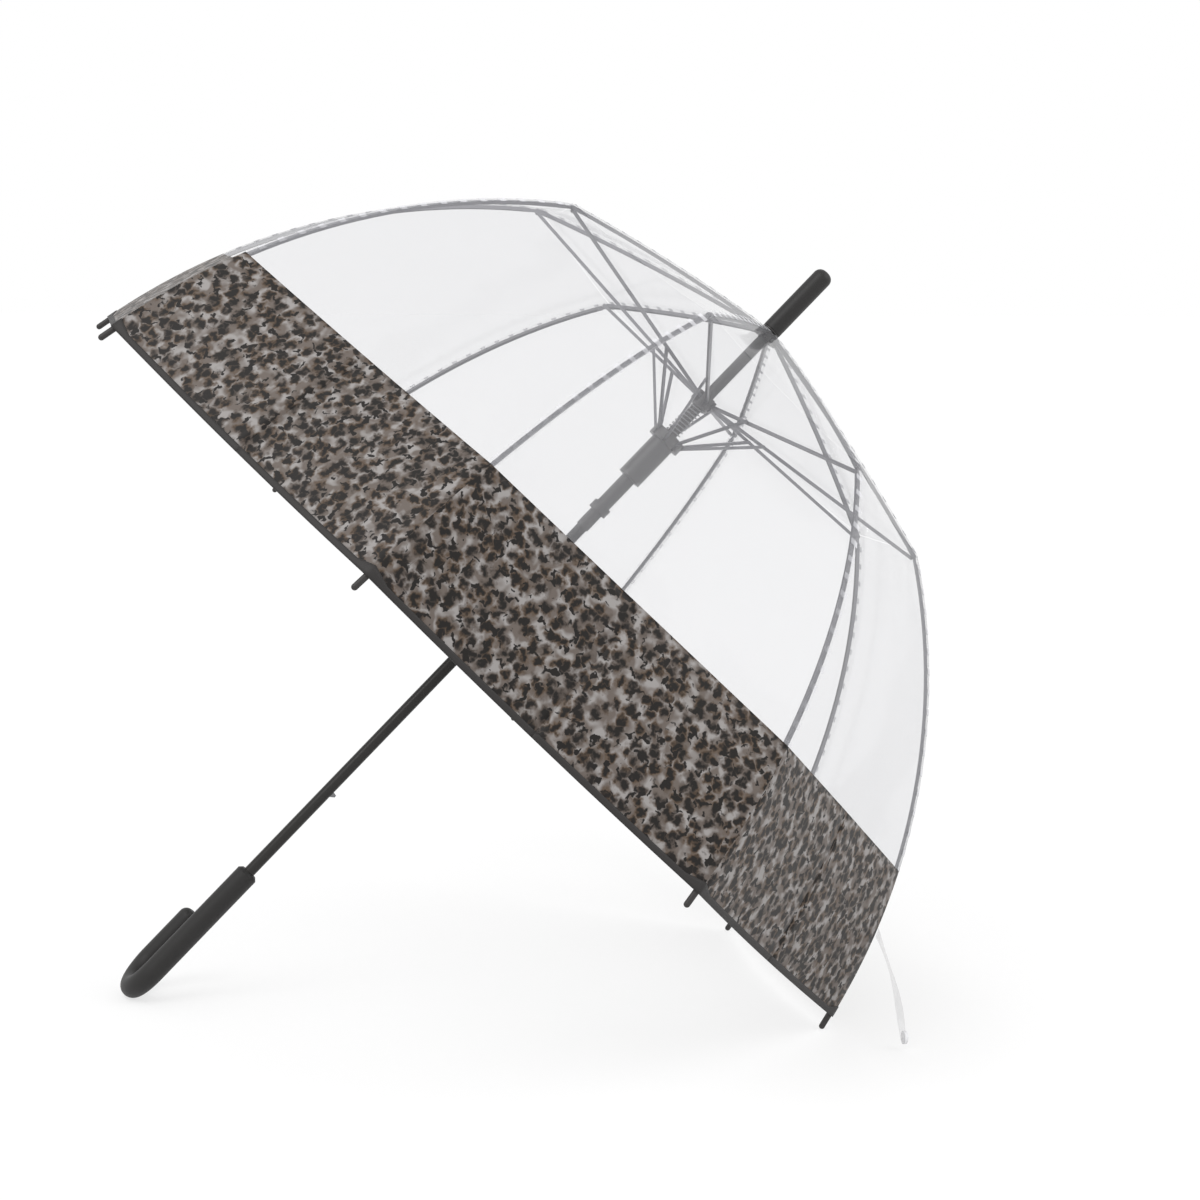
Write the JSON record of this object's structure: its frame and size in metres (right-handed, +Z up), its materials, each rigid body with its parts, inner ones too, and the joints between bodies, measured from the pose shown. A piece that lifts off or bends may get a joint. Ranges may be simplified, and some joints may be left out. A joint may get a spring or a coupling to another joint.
{
  "type": "bubble umbrella",
  "caption": "Clear dome umbrella lying open, with a printed border, ribs that fold on a sliding runner, and a crook handle.",
  "frame": {"origin": "on the floor, under the middle of the open umbrella's box, as it lies on its crook and two rib tips", "axes": "+Z up; the shaft runs up from the handle towards the ferrule, leaning towards +X; +Y is the side that the crook bends to"},
  "size_m": [0.684, 0.8144, 0.6792],
  "materials": {
    "clear_film": "soft clear PVC film, glossy, faintly milky",
    "printed_film": "clear PVC film with an opaque animal-spot print on its border",
    "black_steel": "fluted steel, black enamel, satin",
    "shaft_enamel": "steel tube, black enamel, satin",
    "spring_steel": "drawn spring steel",
    "handle_coating": "matte black coating on a bent crook",
    "strap_film": "clear PVC strip, glossy",
    "snap_plastic": "moulded clear plastic snap",
    "black_plastic": "moulded black nylon, satin"
  },
  "bodies": {
    "frame": {"shaft": "shaft_enamel", "ferrule": "black_plastic", "top_washer": "black_plastic", "crown_notch": "black_plastic", "notch_wire": "spring_steel", "handle": "handle_coating"},
    "runner": {"runner": "black_plastic", "opening_spring": "spring_steel"},
    "sleeve": {"spring_sleeve": "black_plastic"},
    "catch": {"spring_catch": "spring_steel"},
    "rib_upper_1": {"rib_upper_1": "black_steel", "canopy_upper_1": "clear_film"},
    "rib_lower_1": {"rib_lower_1": "black_steel", "canopy_lower_1": "printed_film"},
    "stretcher_1": {"stretcher_1": "black_steel"},
    "strut_1": {"strut_1": "black_steel"},
    "rib_upper_2": {"rib_upper_2": "black_steel", "canopy_upper_2": "clear_film"},
    "rib_lower_2": {"rib_lower_2": "black_steel", "canopy_lower_2": "printed_film"},
    "stretcher_2": {"stretcher_2": "black_steel"},
    "strut_2": {"strut_2": "black_steel"},
    "rib_upper_3": {"rib_upper_3": "black_steel", "canopy_upper_3": "clear_film"},
    "rib_lower_3": {"rib_lower_3": "black_steel", "canopy_lower_3": "printed_film"},
    "stretcher_3": {"stretcher_3": "black_steel"},
    "strut_3": {"strut_3": "black_steel"},
    "rib_upper_4": {"rib_upper_4": "black_steel", "canopy_upper_4": "clear_film"},
    "rib_lower_4": {"rib_lower_4": "black_steel", "canopy_lower_4": "printed_film"},
    "stretcher_4": {"stretcher_4": "black_steel"},
    "strut_4": {"strut_4": "black_steel"},
    "rib_upper_5": {"rib_upper_5": "black_steel", "canopy_upper_5": "clear_film"},
    "rib_lower_5": {"rib_lower_5": "black_steel", "canopy_lower_5": "printed_film"},
    "stretcher_5": {"stretcher_5": "black_steel"},
    "strut_5": {"strut_5": "black_steel"},
    "rib_upper_6": {"rib_upper_6": "black_steel", "canopy_upper_6": "clear_film"},
    "rib_lower_6": {"rib_lower_6": "black_steel", "canopy_lower_6": "printed_film"},
    "stretcher_6": {"stretcher_6": "black_steel"},
    "strut_6": {"strut_6": "black_steel"},
    "rib_upper_7": {"rib_upper_7": "black_steel", "canopy_upper_7": "clear_film"},
    "rib_lower_7": {"rib_lower_7": "black_steel", "canopy_lower_7": "printed_film"},
    "stretcher_7": {"stretcher_7": "black_steel"},
    "strut_7": {"strut_7": "black_steel"},
    "rib_upper_8": {"rib_upper_8": "black_steel", "canopy_upper_8": "clear_film"},
    "rib_lower_8": {"rib_lower_8": "black_steel", "canopy_lower_8": "printed_film", "tie_strap": "strap_film", "strap_snap": "snap_plastic"},
    "stretcher_8": {"stretcher_8": "black_steel"},
    "strut_8": {"strut_8": "black_steel"}
  },
  "joints": [
    {"name": "runner_slide", "type": "slide", "parent": "frame", "child": "runner", "axis": [-0.7004, 0, -0.7138], "range_m": [0, 0.35706], "deforming": ["opening_spring", "canopy_upper_1", "canopy_lower_1", "canopy_upper_2", "canopy_lower_2", "canopy_upper_3", "canopy_lower_3", "canopy_upper_4", "canopy_lower_4", "canopy_upper_5", "canopy_lower_5", "canopy_upper_6", "canopy_lower_6", "canopy_upper_7", "canopy_lower_7", "canopy_upper_8", "canopy_lower_8", "tie_strap"]},
    {"name": "sleeve_slide", "type": "slide", "parent": "frame", "child": "sleeve", "axis": [-0.7004, 0, -0.7138], "range_m": [0, 0.32688]},
    {"name": "catch_press", "type": "slide", "parent": "frame", "child": "catch", "axis": [-0.7138, 0, 0.7004], "range_m": [0, 0.003], "stiffness_N_per_m": 400, "springref_m": -0.001},
    {"name": "rib_root_1", "type": "hinge", "parent": "frame", "child": "rib_upper_1", "pos_m": [0.23204, 0.00344, 0.56216], "axis": [-0.2732, 0.9239, 0.268], "range_deg": [0, 73.08]},
    {"name": "rib_bend_1", "type": "hinge", "parent": "rib_upper_1", "child": "rib_lower_1", "pos_m": [0.3346, 0.08572, 0.38308], "axis": [0.2732, -0.9239, -0.268], "range_deg": [0, 43.34]},
    {"name": "stretcher_root_1", "type": "hinge", "parent": "runner", "child": "stretcher_1", "pos_m": [0.17451, 0.00685, 0.50709], "axis": [0.2732, -0.9239, -0.268], "range_deg": [0, 82.23]},
    {"name": "strut_root_1", "type": "hinge", "parent": "sleeve", "child": "strut_1", "pos_m": [0.14619, 0.00627, 0.47015], "axis": [0.2732, -0.9239, -0.268], "range_deg": [0, 47.67]},
    {"name": "rib_root_2", "type": "hinge", "parent": "frame", "child": "rib_upper_2", "pos_m": [0.22856, 0.00831, 0.56558], "axis": [-0.6595, 0.3827, 0.647], "range_deg": [0, 73.08]},
    {"name": "rib_bend_2", "type": "hinge", "parent": "rib_upper_2", "child": "rib_lower_2", "pos_m": [0.24807, 0.20695, 0.46798], "axis": [0.6595, -0.3827, -0.647], "range_deg": [0, 43.34]},
    {"name": "stretcher_root_2", "type": "hinge", "parent": "runner", "child": "stretcher_2", "pos_m": [0.16984, 0.00896, 0.51168], "axis": [0.6595, -0.3827, -0.647], "range_deg": [0, 82.23]},
    {"name": "strut_root_2", "type": "hinge", "parent": "sleeve", "child": "strut_2", "pos_m": [0.14063, 0.01255, 0.47561], "axis": [0.6595, -0.3827, -0.647], "range_deg": [0, 47.67]},
    {"name": "rib_root_3", "type": "hinge", "parent": "frame", "child": "rib_upper_3", "pos_m": [0.22365, 0.00831, 0.5704], "axis": [-0.6595, -0.3827, 0.647], "range_deg": [0, 73.08]},
    {"name": "rib_bend_3", "type": "hinge", "parent": "rib_upper_3", "child": "rib_lower_3", "pos_m": [0.1257, 0.20695, 0.58805], "axis": [0.6595, 0.3827, -0.647], "range_deg": [0, 43.34]},
    {"name": "stretcher_root_3", "type": "hinge", "parent": "runner", "child": "stretcher_3", "pos_m": [0.16547, 0.00582, 0.51597], "axis": [0.6595, 0.3827, -0.647], "range_deg": [0, 82.23]},
    {"name": "strut_root_3", "type": "hinge", "parent": "sleeve", "child": "strut_3", "pos_m": [0.13353, 0.01148, 0.48258], "axis": [0.6595, 0.3827, -0.647], "range_deg": [0, 47.67]},
    {"name": "rib_root_4", "type": "hinge", "parent": "frame", "child": "rib_upper_4", "pos_m": [0.22017, 0.00344, 0.57381], "axis": [-0.2732, -0.9239, 0.268], "range_deg": [0, 73.08]},
    {"name": "rib_bend_4", "type": "hinge", "parent": "rib_upper_4", "child": "rib_lower_4", "pos_m": [0.03917, 0.08572, 0.67295], "axis": [0.2732, 0.9239, -0.268], "range_deg": [0, 43.34]},
    {"name": "stretcher_root_4", "type": "hinge", "parent": "runner", "child": "stretcher_4", "pos_m": [0.16396, -0.00073, 0.51744], "axis": [0.2732, 0.9239, -0.268], "range_deg": [0, 82.23]},
    {"name": "strut_root_4", "type": "hinge", "parent": "sleeve", "child": "strut_4", "pos_m": [0.12904, 0.00368, 0.48698], "axis": [0.2732, 0.9239, -0.268], "range_deg": [0, 47.67]},
    {"name": "rib_root_5", "type": "hinge", "parent": "frame", "child": "rib_upper_5", "pos_m": [0.22017, -0.00344, 0.57381], "axis": [0.2732, -0.9239, -0.268], "range_deg": [0, 73.08]},
    {"name": "rib_bend_5", "type": "hinge", "parent": "rib_upper_5", "child": "rib_lower_5", "pos_m": [0.03917, -0.08572, 0.67295], "axis": [-0.2732, 0.9239, 0.268], "range_deg": [0, 43.34]},
    {"name": "stretcher_root_5", "type": "hinge", "parent": "runner", "child": "stretcher_5", "pos_m": [0.1662, -0.00685, 0.51525], "axis": [-0.2732, 0.9239, 0.268], "range_deg": [0, 82.23]},
    {"name": "strut_root_5", "type": "hinge", "parent": "sleeve", "child": "strut_5", "pos_m": [0.12981, -0.00627, 0.48623], "axis": [-0.2732, 0.9239, 0.268], "range_deg": [0, 47.67]},
    {"name": "rib_root_6", "type": "hinge", "parent": "frame", "child": "rib_upper_6", "pos_m": [0.22365, -0.00831, 0.5704], "axis": [0.6595, -0.3827, -0.647], "range_deg": [0, 73.08]},
    {"name": "rib_bend_6", "type": "hinge", "parent": "rib_upper_6", "child": "rib_lower_6", "pos_m": [0.1257, -0.20695, 0.58805], "axis": [-0.6595, 0.3827, 0.647], "range_deg": [0, 43.34]},
    {"name": "stretcher_root_6", "type": "hinge", "parent": "runner", "child": "stretcher_6", "pos_m": [0.17087, -0.00896, 0.51066], "axis": [-0.6595, 0.3827, 0.647], "range_deg": [0, 82.23]},
    {"name": "strut_root_6", "type": "hinge", "parent": "sleeve", "child": "strut_6", "pos_m": [0.13537, -0.01255, 0.48077], "axis": [-0.6595, 0.3827, 0.647], "range_deg": [0, 47.67]},
    {"name": "rib_root_7", "type": "hinge", "parent": "frame", "child": "rib_upper_7", "pos_m": [0.22856, -0.00831, 0.56558], "axis": [0.6595, 0.3827, -0.647], "range_deg": [0, 73.08]},
    {"name": "rib_bend_7", "type": "hinge", "parent": "rib_upper_7", "child": "rib_lower_7", "pos_m": [0.24807, -0.20695, 0.46798], "axis": [-0.6595, -0.3827, 0.647], "range_deg": [0, 43.34]},
    {"name": "stretcher_root_7", "type": "hinge", "parent": "runner", "child": "stretcher_7", "pos_m": [0.17525, -0.00582, 0.50637], "axis": [-0.6595, -0.3827, 0.647], "range_deg": [0, 82.23]},
    {"name": "strut_root_7", "type": "hinge", "parent": "sleeve", "child": "strut_7", "pos_m": [0.14247, -0.01148, 0.4738], "axis": [-0.6595, -0.3827, 0.647], "range_deg": [0, 47.67]},
    {"name": "rib_root_8", "type": "hinge", "parent": "frame", "child": "rib_upper_8", "pos_m": [0.23204, -0.00344, 0.56216], "axis": [0.2732, 0.9239, -0.268], "range_deg": [0, 73.08]},
    {"name": "rib_bend_8", "type": "hinge", "parent": "rib_upper_8", "child": "rib_lower_8", "pos_m": [0.3346, -0.08572, 0.38308], "axis": [-0.2732, -0.9239, 0.268], "range_deg": [0, 43.34]},
    {"name": "stretcher_root_8", "type": "hinge", "parent": "runner", "child": "stretcher_8", "pos_m": [0.17675, 0.00073, 0.50489], "axis": [-0.2732, -0.9239, 0.268], "range_deg": [0, 82.23]},
    {"name": "strut_root_8", "type": "hinge", "parent": "sleeve", "child": "strut_8", "pos_m": [0.14696, -0.00368, 0.46941], "axis": [-0.2732, -0.9239, 0.268], "range_deg": [0, 47.67]}
  ],
  "couplings": [
    {"joint": "sleeve_slide", "follows": "runner_slide", "ratio": 0.91548},
    {"joint": "rib_root_1", "follows": "runner_slide", "rad_per_m": 3.5722},
    {"joint": "rib_bend_1", "follows": "runner_slide", "rad_per_m": 2.1186},
    {"joint": "stretcher_root_1", "follows": "runner_slide", "rad_per_m": 4.0194},
    {"joint": "strut_root_1", "follows": "runner_slide", "rad_per_m": 2.33},
    {"joint": "rib_root_2", "follows": "runner_slide", "rad_per_m": 3.5722},
    {"joint": "rib_bend_2", "follows": "runner_slide", "rad_per_m": 2.1186},
    {"joint": "stretcher_root_2", "follows": "runner_slide", "rad_per_m": 4.0194},
    {"joint": "strut_root_2", "follows": "runner_slide", "rad_per_m": 2.33},
    {"joint": "rib_root_3", "follows": "runner_slide", "rad_per_m": 3.5722},
    {"joint": "rib_bend_3", "follows": "runner_slide", "rad_per_m": 2.1186},
    {"joint": "stretcher_root_3", "follows": "runner_slide", "rad_per_m": 4.0194},
    {"joint": "strut_root_3", "follows": "runner_slide", "rad_per_m": 2.33},
    {"joint": "rib_root_4", "follows": "runner_slide", "rad_per_m": 3.5722},
    {"joint": "rib_bend_4", "follows": "runner_slide", "rad_per_m": 2.1186},
    {"joint": "stretcher_root_4", "follows": "runner_slide", "rad_per_m": 4.0194},
    {"joint": "strut_root_4", "follows": "runner_slide", "rad_per_m": 2.33},
    {"joint": "rib_root_5", "follows": "runner_slide", "rad_per_m": 3.5722},
    {"joint": "rib_bend_5", "follows": "runner_slide", "rad_per_m": 2.1186},
    {"joint": "stretcher_root_5", "follows": "runner_slide", "rad_per_m": 4.0194},
    {"joint": "strut_root_5", "follows": "runner_slide", "rad_per_m": 2.33},
    {"joint": "rib_root_6", "follows": "runner_slide", "rad_per_m": 3.5722},
    {"joint": "rib_bend_6", "follows": "runner_slide", "rad_per_m": 2.1186},
    {"joint": "stretcher_root_6", "follows": "runner_slide", "rad_per_m": 4.0194},
    {"joint": "strut_root_6", "follows": "runner_slide", "rad_per_m": 2.33},
    {"joint": "rib_root_7", "follows": "runner_slide", "rad_per_m": 3.5722},
    {"joint": "rib_bend_7", "follows": "runner_slide", "rad_per_m": 2.1186},
    {"joint": "stretcher_root_7", "follows": "runner_slide", "rad_per_m": 4.0194},
    {"joint": "strut_root_7", "follows": "runner_slide", "rad_per_m": 2.33},
    {"joint": "rib_root_8", "follows": "runner_slide", "rad_per_m": 3.5722},
    {"joint": "rib_bend_8", "follows": "runner_slide", "rad_per_m": 2.1186},
    {"joint": "stretcher_root_8", "follows": "runner_slide", "rad_per_m": 4.0194},
    {"joint": "strut_root_8", "follows": "runner_slide", "rad_per_m": 2.33}
  ]
}
